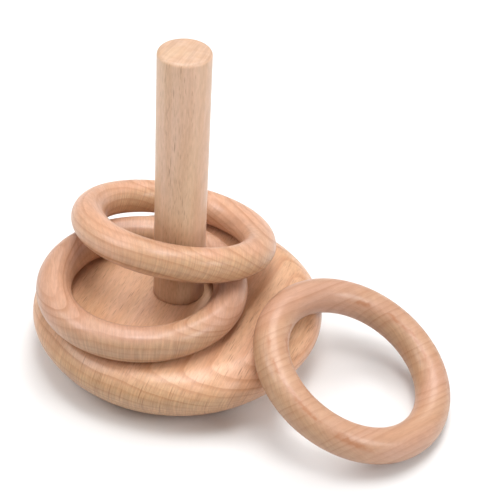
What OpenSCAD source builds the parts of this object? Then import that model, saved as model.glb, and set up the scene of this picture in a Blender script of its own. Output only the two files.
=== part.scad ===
// Wooden ring stacker: a rounded round base, one upright post glued into it,
// and three equal round-section rings. Two rings are on the post, one of them
// tilted across the other, and the third leans on the edge of the base.
// Millimetres. The origin is the middle of the base's underside, +Z is up.

/* [Base] */
// Widest diameter of the base
base_d = 98; // [90:0.5:110]
// Height of the base, which is the height of its flat top
base_h = 22; // [20:0.5:22]
// Diameter of the flat underside
foot_d = 74; // [66:0.5:78]
// Radius of the curve from the flat top to the rim
shoulder_r = 11; // [11:0.5:14]
// Radius of the rim, where the base is widest
rim_r = 4.5; // [3:0.25:6]
// How far above level the rim curve runs before the shoulder curve starts
rim_rise = 32; // [20:1:36]
// How far below level the rim curve runs before the underside curve starts
rim_lean = 23; // [15:1:30]

/* [Post] */
// Diameter of the post
post_d = 17; // [14:0.5:18]
// Height of the post's top end above the table
post_top_z = 114.5; // [90:0.5:130]
// Diameter of the tenon turned on the post's lower end
tenon_d = 12; // [8:0.5:13]
// Length of the tenon
tenon_length = 15; // [10:0.5:16]
// Room for glue between the tenon and the wall of its hole
glue_gap = 0.05; // [0.02:0.01:0.08]
// Room for glue between the tenon's end and the bottom of its hole
glue_pocket = 1; // [0.5:0.5:2]
// Radius of the eased edge around the post's top end
post_edge_r = 1.2; // [0.6:0.1:2]

/* [Rings] */
// Outside diameter of each ring
ring_d = 70; // [69.8:0.1:70]
// Thickness of each ring's round section
section_d = 11.6; // [11.4:0.1:11.6]
// Gap that keeps the flat ring just clear of the base
rest_gap = 0.1; // [0.05:0.05:0.1]

/* [Hidden] */
$fn = 96;

beech = [0.86, 0.70, 0.55];
pale_beech = [0.89, 0.74, 0.60];
rosy_beech = [0.88, 0.70, 0.57];

section_r = section_d / 2;
ring_mid_r = (ring_d - section_d) / 2;

// Where each ring lies: the place of its middle, and how far its level axis
// has turned about X and then about Y. The rings on the post follow the base's
// flat top.
lower_ring_at = [-12, -6, base_h + rest_gap + section_r];
upper_ring_at = [-2, 12.8, base_h + 15.75];
upper_ring_turn = [-15.5, 9, 0];
loose_ring_turn = [10, 21, 0];
// The loose ring's foot is on the table, so its tilt sets its height. It leans
// on the base's rim, so its middle stays this far outside the rim.
loose_ring_tilt = acos(cos(loose_ring_turn[0]) * cos(loose_ring_turn[1]));
loose_ring_side = -29.53;
loose_ring_from_rim = 16.74;
loose_ring_reach = base_d / 2 + loose_ring_from_rim;
loose_ring_at = [
    loose_ring_reach * cos(loose_ring_side),
    loose_ring_reach * sin(loose_ring_side),
    ring_mid_r * sin(loose_ring_tilt) + section_r
];

// The rim curve stands this far proud of the curves above and below it, and
// the shoulder curve of the flat top, so that they cross and don't just touch.
lap = 0.02;

// Middles of the rim curve and the shoulder curve.
shoulder_z = base_h + lap - shoulder_r;
rim_up = [cos(rim_rise), sin(rim_rise)];
rim_to_shoulder = shoulder_r - rim_r + lap;
rim_mid = [base_d / 2 - rim_r, shoulder_z + rim_to_shoulder * rim_up[1]];
shoulder_mid = rim_mid - rim_to_shoulder * rim_up;
// The underside curve starts at the lower end of the rim curve, and has the
// radius that brings it down to the edge of the foot.
rim_down = [cos(rim_lean), -sin(rim_lean)];
rim_end = rim_mid + (rim_r - lap) * rim_down;
foot_to_rim_end = rim_end - [foot_d / 2, 0];
under_r = (foot_to_rim_end * foot_to_rim_end) / (2 * foot_to_rim_end * rim_down);
under_mid = rim_end - under_r * rim_down;
foot_angle = asin(under_mid[1] / under_r);

// A slice of a disc between two angles, less than 120 degrees apart.
module slice(mid, r, low, high) {
    intersection() {
        translate(mid) circle(r = r, $fn = 180);
        polygon([
            mid,
            mid + 2 * r * [cos(low), sin(low)],
            mid + 2 * r * [cos(high), sin(high)]
        ]);
    }
}

// Half of the base's upright section, to the right of its axis: a core with
// three curves overlapping it, all cut off level at the top and the underside.
module base_half_section() {
    intersection() {
        square([base_d / 2 + 1, base_h]);
        union() {
            polygon([
                [0, -1],
                [foot_d / 2 - 2, -1],
                rim_mid,
                [shoulder_mid[0] - 0.5, base_h + 1],
                [0, base_h + 1]
            ]);
            translate(rim_mid) circle(r = rim_r);
            slice(shoulder_mid, shoulder_r, rim_rise, 95);
            slice(under_mid, under_r, -foot_angle - 8, -rim_lean);
        }
    }
}

module base() {
    hole_depth = tenon_length + glue_pocket;
    color(beech)
    difference() {
        rotate_extrude($fn = 180) base_half_section();
        translate([0, 0, base_h - hole_depth])
            cylinder(d = tenon_d + 2 * glue_gap, h = hole_depth + 1);
    }
}

// The post's shoulder stands on the base's flat top and hides the mouth of the
// hole. Its section is a tenon, a straight side and a quarter-round top edge.
module post() {
    edge_mid = [post_d / 2 - post_edge_r, post_top_z - post_edge_r];
    color(pale_beech)
    rotate_extrude()
    union() {
        translate([0, base_h - tenon_length]) square([tenon_d / 2, tenon_length + 1]);
        translate([0, base_h]) square([post_d / 2, edge_mid[1] - base_h]);
        translate([0, base_h]) square([edge_mid[0], post_top_z - base_h]);
        slice(edge_mid, post_edge_r, 0, 90);
    }
}

// One round-section ring, lying flat with its middle at the origin.
module ring() {
    rotate_extrude() translate([ring_mid_r, 0]) circle(r = section_r);
}

module lower_ring() {
    color(rosy_beech) translate(lower_ring_at) ring();
}

module upper_ring() {
    color(rosy_beech) translate(upper_ring_at) rotate(upper_ring_turn) ring();
}

module loose_ring() {
    color(rosy_beech) translate(loose_ring_at) rotate(loose_ring_turn) ring();
}

base();
post();
lower_ring();
upper_ring();
loose_ring();
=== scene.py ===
# %% [markdown]
# # A wooden ring stacker
#
# This lesson builds a small turned-wood toy around its CAD frame: a rounded
# base, one upright post and three equal rings, all in oiled beech. The frame
# gives every place and size. What Blender adds is the turned surfaces and,
# above all, the wood: growth layers, rays, pores and end grain that run
# through each piece as they run through a real blank.

import math

import bmesh
import bpy
import numpy as np
from mathutils import Matrix, Quaternion, Vector


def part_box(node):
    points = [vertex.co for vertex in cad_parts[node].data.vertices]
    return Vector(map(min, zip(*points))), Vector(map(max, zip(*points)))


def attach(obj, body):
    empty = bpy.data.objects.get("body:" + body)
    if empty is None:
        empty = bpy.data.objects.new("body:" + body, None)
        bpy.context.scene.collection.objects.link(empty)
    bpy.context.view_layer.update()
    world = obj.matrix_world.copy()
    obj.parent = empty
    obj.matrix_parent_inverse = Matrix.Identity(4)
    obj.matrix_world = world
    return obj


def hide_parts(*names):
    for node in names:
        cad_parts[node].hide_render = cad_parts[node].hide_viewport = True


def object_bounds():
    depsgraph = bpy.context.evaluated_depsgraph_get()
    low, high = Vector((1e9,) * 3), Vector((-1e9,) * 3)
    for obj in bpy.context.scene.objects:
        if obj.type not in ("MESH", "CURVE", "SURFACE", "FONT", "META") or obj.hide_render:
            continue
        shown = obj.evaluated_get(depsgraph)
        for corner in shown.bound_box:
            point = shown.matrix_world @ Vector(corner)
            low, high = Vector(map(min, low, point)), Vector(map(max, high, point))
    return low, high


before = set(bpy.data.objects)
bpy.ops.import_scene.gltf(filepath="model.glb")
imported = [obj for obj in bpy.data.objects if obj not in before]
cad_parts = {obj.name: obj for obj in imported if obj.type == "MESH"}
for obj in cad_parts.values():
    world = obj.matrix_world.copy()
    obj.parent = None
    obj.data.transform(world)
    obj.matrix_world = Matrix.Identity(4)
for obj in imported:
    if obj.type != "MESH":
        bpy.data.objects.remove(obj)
cad_low, cad_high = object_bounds()
MM = 0.001
print("whole toy, mm:", [round(side / MM, 1) for side in cad_high - cad_low])

# %% [markdown]
# ## The camera
#
# A long lens from above shows a small product without bending its upright
# post. The camera is placed by turning round an aim point near the middle of
# the toy: how far round, how high, how far away, and a slight roll. Saying it
# this way, and not as a raw position, keeps each number meaningful.

# %% Place the camera
LENS = 110.0
CAMERA_DISTANCE = 500 * MM
CAMERA_TURN = math.radians(-3.33)
CAMERA_RISE = math.radians(37.79)
CAMERA_ROLL = math.radians(3.55)
AIM = Vector((23.0, -4.7, 43.2)) * MM

away = Vector((
    math.sin(CAMERA_TURN) * math.cos(CAMERA_RISE),
    -math.cos(CAMERA_TURN) * math.cos(CAMERA_RISE),
    math.sin(CAMERA_RISE),
))
level_view = (-away).to_track_quat("-Z", "Y")
camera_data = bpy.data.cameras.new("camera")
camera_data.lens = LENS
camera_data.clip_start = 10 * MM
camera = bpy.data.objects.new("camera", camera_data)
camera.location = AIM + away * CAMERA_DISTANCE
camera.rotation_mode = "QUATERNION"
camera.rotation_quaternion = level_view @ Quaternion((0, 0, 1), CAMERA_ROLL)
bpy.context.scene.collection.objects.link(camera)
bpy.context.scene.camera = camera
print("camera at, mm:", [round(c / MM) for c in camera.location])

# %% [markdown]
# ## Floor and light
#
# A product table is a pale sweep under big soft lights. A round floor wide
# enough for every view stands in for the sweep. The softboxes don't reach its
# far part, so that part glows a little, as a backdrop with its own lamps does.
# A plain white world fills the shadows from all round, and a wide sheet
# overhead lights the floor evenly. A small softbox under it gives the bright
# line along the top of each ring, one on each side models the round forms, and
# one high behind puts a thin gloss on the level faces. Lower down, the rear one
# would grey them over. The standard view transform keeps pale colours as they
# are mixed.

# %% Mix the floor's white
FLOOR_WHITE = (0.80, 0.80, 0.80, 1.0)
GLOW_WHITE = (1.0, 1.0, 1.0, 1.0)
FLOOR_ROUGHNESS = 0.6
GLOW_START = 0.45
GLOW_FULL = 1.5
FAR_GLOW = 0.55

floor_white = bpy.data.materials.new("floor_white")
floor_white.use_nodes = True
floor_tree = floor_white.node_tree
spot = floor_tree.nodes.new("ShaderNodeTexCoord")
reach = floor_tree.nodes.new("ShaderNodeVectorMath")
reach.operation = "LENGTH"
glow = floor_tree.nodes.new("ShaderNodeMapRange")
glow.interpolation_type = "SMOOTHSTEP"
glow.inputs["From Min"].default_value = GLOW_START
glow.inputs["From Max"].default_value = GLOW_FULL
glow.inputs["To Max"].default_value = FAR_GLOW
shader = floor_tree.nodes["Principled BSDF"]
shader.inputs["Base Color"].default_value = FLOOR_WHITE
shader.inputs["Roughness"].default_value = FLOOR_ROUGHNESS
shader.inputs["Emission Color"].default_value = GLOW_WHITE
floor_tree.links.new(spot.outputs["Object"], reach.inputs[0])
floor_tree.links.new(reach.outputs["Value"], glow.inputs["Value"])
floor_tree.links.new(glow.outputs["Result"], shader.inputs["Emission Strength"])
print("far glow starts at, m:", GLOW_START, "and is full at", GLOW_FULL)

# %% Lay the floor
FLOOR_RADIUS = 8.0
FLOOR_SIDES = 64

floor_mesh = bpy.data.meshes.new("floor")
shape = bmesh.new()
bmesh.ops.create_circle(shape, cap_ends=True, segments=FLOOR_SIDES, radius=FLOOR_RADIUS)
shape.to_mesh(floor_mesh)
shape.free()
floor = bpy.data.objects.new("floor", floor_mesh)
floor.location.z = cad_low.z
floor_mesh.materials.append(floor_white)
bpy.context.scene.collection.objects.link(floor)
print("floor at height, mm:", round(floor.location.z / MM, 2))


# %% Hang the lights
SCENE_MIDDLE = (cad_low + cad_high) / 2


def softbox(name, turn, rise, distance, size, power):
    """A square light that faces the toy from a turn and a rise in degrees."""
    turn, rise = math.radians(turn), math.radians(rise)
    back = Vector((
        math.sin(turn) * math.cos(rise),
        -math.cos(turn) * math.cos(rise),
        math.sin(rise),
    ))
    data = bpy.data.lights.new(name, "AREA")
    data.shape = "SQUARE"
    data.size = size
    data.energy = power
    light = bpy.data.objects.new(name, data)
    light.location = SCENE_MIDDLE + back * distance
    light.rotation_mode = "QUATERNION"
    light.rotation_quaternion = (-back).to_track_quat("-Z", "Y")
    bpy.context.scene.collection.objects.link(light)
    print(name, "at, mm:", [round(c / MM) for c in light.location])


softbox("ceiling_sheet", turn=0, rise=89, distance=2.0, size=4.0, power=15)
softbox("overhead_softbox", turn=0, rise=84, distance=0.9, size=0.36, power=3.8)
softbox("rear_softbox", turn=165, rise=62, distance=1.0, size=0.60, power=4.6)
softbox("right_softbox", turn=60, rise=33, distance=0.9, size=0.34, power=2.7)
softbox("left_softbox", turn=-88, rise=44, distance=0.9, size=0.40, power=2.6)

# %% Fill the room with white
ROOM_STRENGTH = 0.37

world = bpy.data.worlds.new("white_room")
bpy.context.scene.world = world
world.use_nodes = True
background = world.node_tree.nodes["Background"]
background.inputs["Color"].default_value = (1.0, 1.0, 1.0, 1.0)
background.inputs["Strength"].default_value = ROOM_STRENGTH
bpy.context.scene.view_settings.view_transform = "Standard"
print("room strength:", ROOM_STRENGTH)

# %% [markdown]
# ## A lathe
#
# Every piece of this toy is turned, so one helper does what the lathe does: it
# takes the outline of half a section, in millimetres from the axis, and sweeps
# it round into a closed skin of four-sided faces. A primitive cylinder or
# torus would be quicker, but an outline can hold the eased edges and the glue
# hole, and its points can be packed close where the curve is tight.

# %% Turn an outline into a piece
def turn(name, outline, steps, is_ring=False):
    """Sweeps (radius, height) points in mm about Z. An outline that isn't a
    ring starts and ends on the axis."""
    shape = bmesh.new()
    loops = []
    for radius, height in outline:
        if radius < 1e-6:
            loops.append([shape.verts.new((0, 0, height * MM))])
            continue
        loop = []
        for step in range(steps):
            angle = 2 * math.pi * step / steps
            across = Vector((math.cos(angle), math.sin(angle))) * radius * MM
            loop.append(shape.verts.new((across.x, across.y, height * MM)))
        loops.append(loop)
    pairs = list(zip(loops, loops[1:]))
    if is_ring:
        pairs.append((loops[-1], loops[0]))
    for one, other in pairs:
        for step in range(steps):
            after = (step + 1) % steps
            if len(one) == 1:
                corners = (one[0], other[after], other[step])
            elif len(other) == 1:
                corners = (one[step], one[after], other[0])
            else:
                corners = (one[step], one[after], other[after], other[step])
            shape.faces.new(corners)
    bmesh.ops.recalc_face_normals(shape, faces=shape.faces[:])
    mesh = bpy.data.meshes.new(name)
    shape.to_mesh(mesh)
    shape.free()
    for polygon in mesh.polygons:
        polygon.use_smooth = True
    piece = bpy.data.objects.new(name, mesh)
    bpy.context.scene.collection.objects.link(piece)
    print(name, "has", len(mesh.polygons), "faces")
    return piece


# %% Draw arcs and lines for outlines
def arc(middle, radius, start, end, points):
    """Points along an arc, from one angle to another in degrees."""
    angles = np.radians(np.linspace(start, end, points))
    return [
        (middle[0] + radius * math.cos(a), middle[1] + radius * math.sin(a))
        for a in angles
    ]


def straight(start, end, points):
    """Evenly spaced points from start to end, without the end."""
    shares = np.linspace(0, 1, points, endpoint=False)
    return [
        (start[0] + s * (end[0] - start[0]), start[1] + s * (end[1] - start[1]))
        for s in shares
    ]


# %% [markdown]
# ## The base
#
# The base is faceplate work: a disc of flat-sawn beech with a level top, a
# wide round shoulder, a tight rim and a flank that draws in to a smaller foot.
# Its outline is three arcs that run smoothly into each other, and a small one
# that eases the foot's edge. The frame gives the widest diameter, the height
# and the foot; the radii are the turner's.
# A blind hole for the post's tenon goes down from the top. The last fine cut
# takes a hundredth of a millimetre off, which keeps the fine mesh inside the
# coarser one that was measured.

# %% Measure the base
SAME_HEIGHT = 0.01 * MM
FINE_CUT = 0.01


def rim_radius_at(node, height):
    """Greatest distance from the Z axis of a node's points at a height."""
    points = np.array([v.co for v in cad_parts[node].data.vertices])
    level = np.abs(points[:, 2] - height) < SAME_HEIGHT
    return float(np.hypot(points[level, 0], points[level, 1]).max()) / MM


base_low, base_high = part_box("base")
BASE_RADIUS = (base_high.y - base_low.y) / 2 / MM - FINE_CUT
BASE_HEIGHT = (base_high.z - base_low.z) / MM
FOOT_RADIUS = rim_radius_at("base", base_low.z)
SHOULDER_RADIUS = 11.0
RIM_RADIUS = 4.5
RIM_RISE = 32.0
RIM_LEAN = 23.0
print("base, mm:", round(BASE_RADIUS, 2), round(BASE_HEIGHT, 2), round(FOOT_RADIUS, 2))

# %% Work out where the base's arcs meet
rise = math.radians(RIM_RISE)
lean = math.radians(RIM_LEAN)
rim_middle = Vector((
    BASE_RADIUS - RIM_RADIUS,
    BASE_HEIGHT - SHOULDER_RADIUS + (SHOULDER_RADIUS - RIM_RADIUS) * math.sin(rise),
))
up_and_out = Vector((math.cos(rise), math.sin(rise)))
down_and_out = Vector((math.cos(lean), -math.sin(lean)))
shoulder_middle = rim_middle - (SHOULDER_RADIUS - RIM_RADIUS) * up_and_out
rim_end = rim_middle + RIM_RADIUS * down_and_out
from_foot = rim_end - Vector((FOOT_RADIUS, 0))
FLANK_RADIUS = from_foot.length_squared / (2 * from_foot.dot(down_and_out))
flank_middle = rim_end - FLANK_RADIUS * down_and_out
foot_angle = -math.degrees(math.asin(flank_middle.y / FLANK_RADIUS))
print("flat top radius, mm:", round(shoulder_middle.x, 1))

# %% Turn the base
FOOT_EASE = 0.8
FLANK_START = 2.5
GLUE_GAP = 0.05
TENON_RADIUS = 6.0
TENON_LENGTH = 15.0
GLUE_POCKET = 1.0

hole_bottom = BASE_HEIGHT - TENON_LENGTH - GLUE_POCKET
hole_mouth = (TENON_RADIUS + GLUE_GAP, BASE_HEIGHT)
eased_foot = arc((FOOT_RADIUS - FOOT_EASE, FOOT_EASE), FOOT_EASE, -90, foot_angle, 6)
flank = arc(flank_middle, FLANK_RADIUS, foot_angle + FLANK_START, -RIM_LEAN, 16)
rim = arc(rim_middle, RIM_RADIUS, -RIM_LEAN, RIM_RISE, 16)
shoulder = arc(shoulder_middle, SHOULDER_RADIUS, RIM_RISE, 90, 24)
base_outline = (
    straight((0, 0), eased_foot[0], 8)
    + eased_foot
    + flank
    + rim[1:]
    + shoulder[1:]
    + straight(shoulder[-1], hole_mouth, 10)[1:]
    + straight(hole_mouth, (hole_mouth[0], hole_bottom), 4)
    + [(hole_mouth[0], hole_bottom), (0, hole_bottom)]
)
BASE_STEPS = 256
base = turn("turned_base", base_outline, BASE_STEPS)
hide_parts("base")
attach(base, "base")

# %% [markdown]
# ## The post
#
# The post is a plain dowel with an eased top edge. Its lower end is turned
# down to a tenon that is glued into the base, and the shoulder above the tenon
# has the hair of a chamfer that leaves a fine dark line where post meets base.

# %% Turn the post
post_low, post_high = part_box("post")
POST_RADIUS = (post_high.x - post_low.x) / 2 / MM
POST_TOP = post_high.z / MM
POST_EASE = 1.2
JOINT_CHAMFER = 0.25

post_outline = (
    [(0, BASE_HEIGHT - TENON_LENGTH), (TENON_RADIUS, BASE_HEIGHT - TENON_LENGTH)]
    + [(TENON_RADIUS, BASE_HEIGHT)]
    + [(POST_RADIUS - JOINT_CHAMFER, BASE_HEIGHT)]
    + straight(
        (POST_RADIUS, BASE_HEIGHT + JOINT_CHAMFER),
        (POST_RADIUS, POST_TOP - POST_EASE),
        40,
    )
    + arc((POST_RADIUS - POST_EASE, POST_TOP - POST_EASE), POST_EASE, 0, 90, 8)
    + straight((POST_RADIUS - POST_EASE, POST_TOP), (0, POST_TOP), 5)[1:]
    + [(0, POST_TOP)]
)
POST_STEPS = 128
post = turn("turned_post", post_outline, POST_STEPS)
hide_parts("post")
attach(post, "base")
print("post, mm:", round(POST_RADIUS, 2), "to height", round(POST_TOP, 1))

# %% [markdown]
# ## The rings
#
# The three rings are the same turned piece: a round section swept in a circle.
# Only the way they lie differs. Each CAD ring already lies in its place, so its
# lie is read from it: the middle of its box is the ring's middle, and the
# direction in which its points spread least is the ring's axis. The section is
# thinner by a hair, so that the fine mesh stays inside the measured box.

# %% Measure the rings
flat_low, flat_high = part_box("lower_ring")
SECTION_RADIUS = (flat_high.z - flat_low.z) / 2 / MM
RING_MIDDLE_RADIUS = (flat_high.x - flat_low.x) / 2 / MM - SECTION_RADIUS
SKIN = 0.02
RING_STEPS = 240
SECTION_STEPS = 72


def lie_of(node):
    """The middle of a ring, and how it is turned, as its CAD node lies."""
    low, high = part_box(node)
    points = np.array([v.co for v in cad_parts[node].data.vertices])
    spread = np.cov((points - points.mean(0)).T)
    axis = Vector(np.linalg.eigh(spread)[1][:, 0])
    if axis.z < 0:
        axis.negate()
    across = Vector((1, 0, 0)) - axis.x * axis
    across.normalize()
    turned = Matrix((across, axis.cross(across), axis)).transposed()
    return (low + high) / 2, turned


print("ring, mm:", round(RING_MIDDLE_RADIUS, 2), round(SECTION_RADIUS, 2))


# %% Turn the rings
def turned_ring(name, node, body):
    """Returns the ring and how it is turned, which its wood needs too."""
    section = arc((RING_MIDDLE_RADIUS, 0), SECTION_RADIUS - SKIN, 0, 360, SECTION_STEPS + 1)[:-1]
    ring = turn(name, section, RING_STEPS, is_ring=True)
    middle, turned = lie_of(node)
    ring.data.transform(turned.to_4x4())
    ring.location = middle
    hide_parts(node)
    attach(ring, body)
    tilt = math.degrees(turned.col[2].angle(Vector((0, 0, 1))))
    print(name, "is tilted by", round(tilt, 1), "degrees")
    return ring, turned


flat_ring, flat_turn = turned_ring("flat_ring", "lower_ring", "lower_ring")
tilted_ring, tilted_turn = turned_ring("tilted_ring", "upper_ring", "upper_ring")
leaning_ring, leaning_turn = turned_ring("leaning_ring", "loose_ring", "loose_ring")

# %% [markdown]
# ## Beech as a solid
#
# Painting wood on a surface never lines up at the edges. Here the wood is a
# solid that each piece is cut from: a node group works out, for a point inside
# the log, how far it is from the pith and how far it is along and round the
# trunk. Growth layers follow the distance from the pith. Rays are thin lenses
# that stand out from the pith like spokes. Pores and colour streaks run along
# the trunk. Long grain, flat grain and end grain then come out by themselves.

# %% Helpers that wire nodes
def add_node(tree, kind, **settings):
    """Adds a node and sets what it needs by name."""
    made = tree.nodes.new(kind)
    for setting, value in settings.items():
        setattr(made, setting, value)
    return made


def feed(tree, socket, value):
    """Gives a socket either another node's output or a plain number."""
    if isinstance(value, bpy.types.NodeSocket):
        tree.links.new(value, socket)
    else:
        socket.default_value = value


def calc(tree, operation, *values):
    made = add_node(tree, "ShaderNodeMath", operation=operation)
    for socket, value in zip(made.inputs, values):
        feed(tree, socket, value)
    return made.outputs[0]


def ramp(tree, value, start, end, low=0.0, high=1.0):
    """Eases value from low at start to high at end, and holds it outside."""
    made = add_node(tree, "ShaderNodeMapRange", interpolation_type="SMOOTHSTEP")
    for socket, given in zip(made.inputs, (value, start, end, low, high)):
        feed(tree, socket, given)
    return made.outputs["Result"]


def vector(tree, x, y, z):
    made = add_node(tree, "ShaderNodeCombineXYZ")
    for socket, value in zip(made.inputs, (x, y, z)):
        feed(tree, socket, value)
    return made.outputs[0]


def stretch(tree, place, x, y, z):
    """Divides a place by a length in mm along each direction."""
    made = add_node(tree, "ShaderNodeVectorMath", operation="DIVIDE")
    feed(tree, made.inputs[0], place)
    feed(tree, made.inputs[1], (x, y, z))
    return made.outputs[0]


def cloud(tree, place, detail=2.0, roughness=0.5):
    """Soft noise between 0 and 1."""
    made = add_node(tree, "ShaderNodeTexNoise")
    feed(tree, made.inputs["Vector"], place)
    made.inputs["Scale"].default_value = 1.0
    made.inputs["Detail"].default_value = detail
    made.inputs["Roughness"].default_value = roughness
    return made


def mix(tree, share, first, second, blend="MIX"):
    made = add_node(tree, "ShaderNodeMix", data_type="RGBA", blend_type=blend)
    feed(tree, made.inputs["Factor"], share)
    feed(tree, made.inputs["A"], first)
    feed(tree, made.inputs["B"], second)
    return made.outputs["Result"]


# %% Open the beech group
beech = bpy.data.node_groups.new("beech", "ShaderNodeTree")
for name, kind in (
    ("Place", "NodeSocketVector"),
    ("Facing", "NodeSocketVector"),
    ("Pith distance", "NodeSocketFloat"),
    ("Layer width", "NodeSocketFloat"),
    ("Layer depth", "NodeSocketFloat"),
    ("Fleck depth", "NodeSocketFloat"),
    ("End fleck depth", "NodeSocketFloat"),
    ("Figure depth", "NodeSocketFloat"),
    ("End depth", "NodeSocketFloat"),
    ("End straw", "NodeSocketFloat"),
    ("Roll depth", "NodeSocketFloat"),
    ("Tone", "NodeSocketColor"),
):
    beech.interface.new_socket(name, in_out="INPUT", socket_type=kind)
for name, kind in (
    ("Colour", "NodeSocketColor"),
    ("Roughness", "NodeSocketFloat"),
    ("Height", "NodeSocketFloat"),
):
    beech.interface.new_socket(name, in_out="OUTPUT", socket_type=kind)
given = add_node(beech, "NodeGroupInput").outputs
result = add_node(beech, "NodeGroupOutput").inputs
place = given["Place"]
print("the beech group takes", len(given) - 1, "values and gives", len(result) - 1)

# %% [markdown]
# A trunk isn't a perfect cone. The layers wander by a millimetre or so over a
# few centimetres, and far less along the trunk than across it, so a stretched
# noise bends the place sideways before anything is measured from the pith.

# %% Bend the trunk a little
WANDER = 3.2

wander = cloud(beech, stretch(beech, place, 26.0, 26.0, 110.0), detail=1.0).outputs
parts = add_node(beech, "ShaderNodeSeparateXYZ")
feed(beech, parts.inputs[0], place)
sway = add_node(beech, "ShaderNodeSeparateColor")
feed(beech, sway.inputs[0], wander["Color"])
sway_x = calc(beech, "MULTIPLY_ADD", sway.outputs[0], WANDER, -WANDER / 2)
sway_y = calc(beech, "MULTIPLY_ADD", sway.outputs[1], WANDER, -WANDER / 2)
x = calc(beech, "ADD", parts.outputs[0], sway_x)
y = calc(beech, "ADD", parts.outputs[1], sway_y)
along = parts.outputs[2]
squares = calc(beech, "MULTIPLY_ADD", x, x, calc(beech, "MULTIPLY", y, y))
out = calc(beech, "SQRT", squares)
around = calc(beech, "MULTIPLY", calc(beech, "ARCTAN2", y, x), given["Pith distance"])
print("the trunk wanders by, mm:", WANDER)

# %% [markdown]
# Each year's layer darkens slowly and ends in a thin dark line of late wood.
# The years differ, so a one-dimensional noise stretches and squeezes the
# layers, and each line takes its own strength from its number.

# %% Grow the layers
YEAR_DRIFT = 9.0
RAGGED_EDGE = 0.35

uneven = cloud(beech, vector(beech, calc(beech, "DIVIDE", out, 13.0), 0.0, 0.0), 1.0)
ragged = cloud(beech, stretch(beech, place, 2.6, 2.6, 5.0), 2.0)
grown = calc(beech, "MULTIPLY_ADD", uneven.outputs[0], YEAR_DRIFT, out)
grown = calc(beech, "MULTIPLY_ADD", ragged.outputs[0], RAGGED_EDGE, grown)
years = calc(beech, "DIVIDE", grown, given["Layer width"])
season = calc(beech, "FRACT", years)
year_noise = add_node(beech, "ShaderNodeTexWhiteNoise", noise_dimensions="1D")
feed(beech, year_noise.inputs["W"], calc(beech, "FLOOR", years))
year_strength = calc(beech, "MULTIPLY_ADD", year_noise.outputs[0], 0.75, 0.25)
darkening = ramp(beech, season, 0.45, 0.90)
fading = ramp(beech, season, 0.91, 1.0, 1.0, 0.0)
late_wood = calc(beech, "MULTIPLY", calc(beech, "MULTIPLY", darkening, fading), year_strength)
print("layers drift by, mm:", YEAR_DRIFT, "and are ragged by", RAGGED_EDGE)

# %% [markdown]
# Rays are what says beech. Each is a lens a few millimetres high along the
# trunk, a fraction of a millimetre thick and several millimetres deep towards
# the pith, so the same lens shows as a short dash on a flat face, as a flake on
# a quartered face and as a fine line on end grain. A Voronoi texture in
# stretched space drops one lens in each cell, and each cell's own random
# number decides whether the lens is there.

# %% Set in the rays
def rays(depth, thickness, height, share, seed):
    """How strongly a ray of this size, in mm, is present at each place."""
    offset = calc(beech, "ADD", calc(beech, "DIVIDE", out, depth), seed)
    cell = add_node(beech, "ShaderNodeTexVoronoi", feature="F1")
    cell.inputs["Scale"].default_value = 1.0
    feed(
        beech,
        cell.inputs["Vector"],
        vector(
            beech,
            offset,
            calc(beech, "DIVIDE", around, thickness),
            calc(beech, "DIVIDE", along, height),
        ),
    )
    lens = ramp(beech, cell.outputs["Distance"], 0.46, 0.16)
    chance = add_node(beech, "ShaderNodeSeparateColor")
    feed(beech, chance.inputs[0], cell.outputs["Color"])
    kept = ramp(beech, chance.outputs[0], 1.0 - share, 1.0 - share + 0.1)
    strength = calc(beech, "POWER", chance.outputs[1], 1.6)
    strength = calc(beech, "MULTIPLY_ADD", strength, 0.85, 0.15)
    return calc(beech, "MULTIPLY", calc(beech, "MULTIPLY", lens, kept), strength)


broad_rays = rays(depth=16.0, thickness=0.44, height=6.4, share=0.60, seed=0.0)
fine_rays = rays(depth=7.0, thickness=0.30, height=3.0, share=0.6, seed=31.7)
all_rays = calc(beech, "MAXIMUM", broad_rays, calc(beech, "MULTIPLY", fine_rays, 0.55))
print("nodes so far, with both sizes of ray:", len(beech.nodes))

# %% [markdown]
# Under the rays lies a finer texture. Figure is the same shape as the rays but
# soft, and it makes wood both lighter and darker: fine stripes on end grain,
# short dashes on flat faces. Pores are drawn out along the trunk, streaks are a
# few centimetres long, and slow drifts of colour go between rosy and straw.

# %% Add figure, pores, streaks and drifts
ray_place = vector(
    beech,
    calc(beech, "DIVIDE", out, 14.0),
    calc(beech, "DIVIDE", around, 0.55),
    calc(beech, "DIVIDE", along, 3.4),
)
figure = ramp(beech, cloud(beech, ray_place, 1.0).outputs[0], 0.30, 0.70, -1.0, 1.0)
pores = cloud(beech, stretch(beech, place, 0.22, 0.22, 3.0), 2.0, 0.6).outputs[0]
streaks = cloud(beech, stretch(beech, place, 3.0, 3.0, 50.0), 2.0, 0.6).outputs[0]
drifts = cloud(beech, stretch(beech, place, 12.0, 12.0, 80.0), 1.0).outputs[0]
pore_shade = ramp(beech, pores, 0.40, 0.72)
streak_shade = ramp(beech, streaks, 0.3, 0.7)
drift_shade = ramp(beech, drifts, 0.35, 0.65)
print("nodes so far, with the fine texture:", len(beech.nodes))
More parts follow.
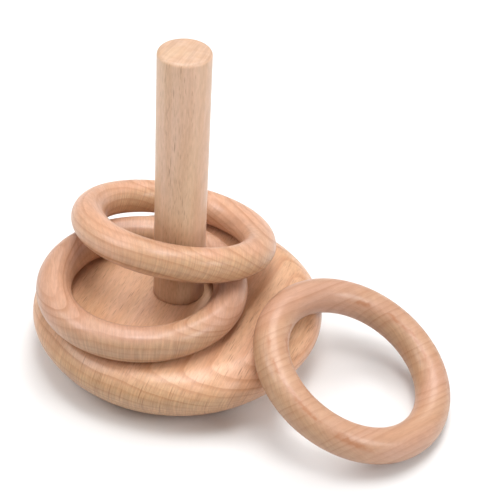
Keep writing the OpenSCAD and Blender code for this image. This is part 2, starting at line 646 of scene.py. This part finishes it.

# %% [markdown]
# Where a cut crosses the fibres, their open ends drink the oil and turn a
# shade browner. That darkening is partly painted shade too: it is set deeper
# than oil alone would make it, to darken end-grain faces such as the base's
# front and sides and the post's top. How squarely the surface faces along the
# trunk says how much end grain it shows. On a quartered face the rays show
# their flat sides, which are pale and not dark. Where such a face rolls over to
# end grain, sanding leaves short torn fibres, which take up an uneven orange
# streak. Noise moves that streak's edges, because an even one looks like a
# drawn line.

# %% Find the end grain
facing = add_node(beech, "ShaderNodeSeparateXYZ")
feed(beech, facing.inputs[0], given["Facing"])
squareness = calc(beech, "ABSOLUTE", facing.outputs[2])
quartered = ramp(beech, calc(beech, "ABSOLUTE", facing.outputs[1]), 0.55, 0.95)
end_grain = ramp(beech, squareness, 0.45, 0.95)
tearing = cloud(beech, stretch(beech, place, 3.2, 3.2, 5.0), 2.0).outputs[0]
torn = ramp(beech, tearing, 0.32, 0.54)
edge = cloud(beech, stretch(beech, place, 2.4, 2.4, 3.6), 2.0).outputs[0]
rolled = calc(beech, "ADD", squareness, calc(beech, "MULTIPLY_ADD", edge, 0.36, -0.18))
roll_start = ramp(beech, rolled, 0.36, 0.50)
roll_end = ramp(beech, rolled, 0.50, 0.66, 1.0, 0.0)
roll = calc(beech, "MULTIPLY", calc(beech, "MULTIPLY", roll_start, roll_end), torn)
on_quarter = ramp(beech, calc(beech, "ABSOLUTE", facing.outputs[1]), 0.62, 0.80)
roll = calc(beech, "MULTIPLY", roll, on_quarter)
print("nodes so far, with the end grain:", len(beech.nodes))

# %% [markdown]
# Colours go on in this order: the ground between straw and rose, the streaks,
# the late wood and the pores, the oil and painted shade in the end grain, and
# last the rays and the torn fibres. The ground turns end grain towards straw and
# long grain towards rose. Besides the wood's own hue this is a painted tint:
# rosier faces that look up stand in for sheen, and straw lower sides for warm
# bounced light. Each piece's tone goes over all of it, because no two blanks
# are quite the same shade.

# %% Name the colours of beech
STRAW = (0.675, 0.435, 0.255, 1.0)
ROSE = (0.700, 0.422, 0.300, 1.0)
LATE_WOOD = (0.490, 0.230, 0.115, 1.0)
STREAK_BROWN = (0.580, 0.300, 0.165, 1.0)
PORE_BROWN = (0.430, 0.235, 0.130, 1.0)
RAY_BROWN = (0.290, 0.140, 0.070, 1.0)
# Multiplied into end grain: oil darkening and, in part, painted shade.
END_OIL_AND_SHADE = (0.730, 0.725, 0.700, 1.0)
ROLL_ORANGE = (0.500, 0.200, 0.080, 1.0)
print("ground colours:", STRAW[:3], ROSE[:3])

# %% Mix the ground colour
rosy = calc(beech, "MULTIPLY_ADD", drift_shade, 0.5, 0.5)
# Straw on end grain, rose on long grain: partly the wood's hue, partly painted sheen on tops that look up
# and painted bounce tint on lower sides.
end_straw = calc(beech, "MULTIPLY", end_grain, given["End straw"])
rosy = calc(beech, "MULTIPLY", rosy, calc(beech, "SUBTRACT", 1.0, end_straw))
colour = mix(beech, rosy, STRAW, ROSE)
colour = mix(beech, calc(beech, "MULTIPLY", streak_shade, 0.42), colour, STREAK_BROWN)
colour = mix(beech, calc(beech, "MULTIPLY", late_wood, given["Layer depth"]), colour, LATE_WOOD)
colour = mix(beech, calc(beech, "MULTIPLY", pore_shade, 0.20), colour, PORE_BROWN)
# End grain darkened by the oil and partly by painted shade.
colour = mix(beech, calc(beech, "MULTIPLY", end_grain, given["End depth"]), colour, END_OIL_AND_SHADE, "MULTIPLY")
figured = calc(beech, "MULTIPLY", figure, calc(beech, "MULTIPLY_ADD", end_grain, 0.5, 0.5))
brighter = calc(beech, "MULTIPLY_ADD", figured, given["Figure depth"], 1.0)
colour = mix(beech, 1.0, colour, vector(beech, brighter, brighter, brighter), "MULTIPLY")
print("nodes so far, with the ground colour:", len(beech.nodes))

# %% Lay the rays and the torn fibres over it
more = calc(beech, "SUBTRACT", given["End fleck depth"], given["Fleck depth"])
fleck_depth = calc(beech, "MULTIPLY_ADD", end_grain, more, given["Fleck depth"])
paling = calc(beech, "MULTIPLY_ADD", quartered, -0.85, 1.0)
fleck_depth = calc(beech, "MULTIPLY", fleck_depth, paling)
colour = mix(beech, calc(beech, "MULTIPLY", all_rays, fleck_depth), colour, RAY_BROWN)
colour = mix(beech, calc(beech, "MULTIPLY", roll, given["Roll depth"]), colour, ROLL_ORANGE)
colour = mix(beech, 1.0, colour, given["Tone"], "MULTIPLY")
feed(beech, result["Colour"], colour)
print("nodes so far, with the colour:", len(beech.nodes))

# %% Shape the sheen and the relief
rough = calc(beech, "MULTIPLY_ADD", pore_shade, 0.08, 0.44)
rough = calc(beech, "MULTIPLY_ADD", end_grain, 0.10, rough)
rough = calc(beech, "MULTIPLY_ADD", all_rays, -0.08, rough)
feed(beech, result["Roughness"], rough)
relief = calc(beech, "MULTIPLY_ADD", all_rays, -0.5, calc(beech, "MULTIPLY", pore_shade, -0.35))
relief = calc(beech, "MULTIPLY_ADD", late_wood, 0.3, relief)
feed(beech, result["Height"], relief)
print("beech group has", len(beech.nodes), "nodes")

# %% [markdown]
# ## Sawing the blanks
#
# One log gives five blanks, and what sets them apart is how each was sawn:
# which way the fibres run through the piece, which way the bark lay, and how
# far off the pith was. A mapping node turns a point of the piece into a point of
# the log. The other numbers say how strongly each feature of the wood shows. A
# thin satin coat over the wood stands for the oil.

# %% Make a finish for one blank
RELIEF_DEPTH = 0.04 * MM
RELIEF_STRENGTH = 0.6
WOOD_IOR = 1.48
OIL_COAT = 0.34
OIL_ROUGHNESS = 0.20


def oiled_beech(
    name, fibre, bark, pith, start, layer, layers, flecks, end_flecks, figure, end, straw, roll, tone
):
    """Beech for a piece whose fibres and bark side lie along these directions.
    Pith distance, start along the trunk and layer width are in mm."""
    fibre = Vector(fibre).normalized()
    bark = (Vector(bark) - Vector(bark).dot(fibre) * fibre).normalized()
    log_from_piece = Matrix((bark, fibre.cross(bark), fibre)).to_euler("XYZ")
    material = bpy.data.materials.new(name)
    material.use_nodes = True
    tree = material.node_tree
    spot = add_node(tree, "ShaderNodeTexCoord")
    place = add_node(tree, "ShaderNodeMapping", vector_type="POINT")
    place.inputs["Location"].default_value = (pith, 0.0, start)
    place.inputs["Rotation"].default_value = log_from_piece
    place.inputs["Scale"].default_value = (1 / MM,) * 3
    facing = add_node(tree, "ShaderNodeMapping", vector_type="VECTOR")
    facing.inputs["Rotation"].default_value = log_from_piece
    wood = add_node(tree, "ShaderNodeGroup", node_tree=beech)
    bump = add_node(tree, "ShaderNodeBump")
    shader = tree.nodes["Principled BSDF"]
    feed(tree, place.inputs["Vector"], spot.outputs["Object"])
    feed(tree, facing.inputs["Vector"], spot.outputs["Normal"])
    feed(tree, wood.inputs["Place"], place.outputs[0])
    feed(tree, wood.inputs["Facing"], facing.outputs[0])
    wood.inputs["Pith distance"].default_value = pith
    wood.inputs["Layer width"].default_value = layer
    wood.inputs["Layer depth"].default_value = layers
    wood.inputs["Fleck depth"].default_value = flecks
    wood.inputs["End fleck depth"].default_value = end_flecks
    wood.inputs["Figure depth"].default_value = figure
    wood.inputs["End depth"].default_value = end
    wood.inputs["End straw"].default_value = straw
    wood.inputs["Roll depth"].default_value = roll
    wood.inputs["Tone"].default_value = (*tone, 1.0)
    bump.inputs["Strength"].default_value = RELIEF_STRENGTH
    bump.inputs["Distance"].default_value = RELIEF_DEPTH
    feed(tree, bump.inputs["Height"], wood.outputs["Height"])
    feed(tree, shader.inputs["Base Color"], wood.outputs["Colour"])
    feed(tree, shader.inputs["Roughness"], wood.outputs["Roughness"])
    feed(tree, shader.inputs["Normal"], bump.outputs[0])
    shader.inputs["IOR"].default_value = WOOD_IOR
    shader.inputs["Coat Weight"].default_value = OIL_COAT
    shader.inputs["Coat Roughness"].default_value = OIL_ROUGHNESS
    return material


def direction(turn, rise=0.0, turned=None):
    """A direction from a turn about Z and a rise above level, in degrees. For
    a ring it is given as the ring lies flat, and turned with the ring."""
    turn, rise = math.radians(turn), math.radians(rise)
    flat = Vector((
        math.cos(turn) * math.cos(rise),
        math.sin(turn) * math.cos(rise),
        math.sin(rise),
    ))
    return turned @ flat if turned else flat


# %% Finish each piece
# The base's end grain takes the full darkening, part of it painted shade on its front and sides.
base.data.materials.append(
    oiled_beech(
        "base_beech",
        fibre=direction(68), bark=direction(-40, 84),
        pith=140, start=10, layer=1.8, layers=0.75, flecks=0.85, end_flecks=0.95,
        figure=0.11, end=1.0, straw=0.9, roll=0.0, tone=(0.955, 0.905, 0.815),
    )
)
# The post's end grain is its top: darkened partly as painted shade, and turned rosier by a negative straw
# as painted sheen.
post.data.materials.append(
    oiled_beech(
        "post_beech",
        fibre=direction(40, 88.6), bark=direction(248),
        pith=60, start=50, layer=2.3, layers=0.15, flecks=0.85, end_flecks=0.12,
        figure=0.08, end=0.7, straw=-0.5, roll=0.0, tone=(0.95, 1.03, 1.03),
    )
)
flat_ring.data.materials.append(
    oiled_beech(
        "flat_ring_beech",
        fibre=direction(92, 0, flat_turn), bark=direction(0, 86, flat_turn),
        pith=62, start=300, layer=1.7, layers=0.75, flecks=0.20, end_flecks=0.40,
        figure=0.11, end=0.5, straw=0.9, roll=0.0, tone=(0.775, 0.725, 0.70),
    )
)
tilted_ring.data.materials.append(
    oiled_beech(
        "tilted_ring_beech",
        fibre=direction(112, 0, tilted_turn), bark=direction(20, 74, tilted_turn),
        pith=85, start=500, layer=1.9, layers=0.78, flecks=0.20, end_flecks=0.40,
        figure=0.11, end=0.5, straw=0.9, roll=0.0, tone=(0.88, 0.83, 0.78),
    )
)
leaning_ring.data.materials.append(
    oiled_beech(
        "leaning_ring_beech",
        fibre=direction(38, 0, leaning_turn), bark=direction(128, 14, leaning_turn),
        pith=90, start=700, layer=2.4, layers=0.56, flecks=0.20, end_flecks=0.20,
        figure=0.06, end=0.4, straw=0.9, roll=0.7, tone=(0.745, 0.695, 0.67),
    )
)
print("materials:", [m.name for m in bpy.data.materials])
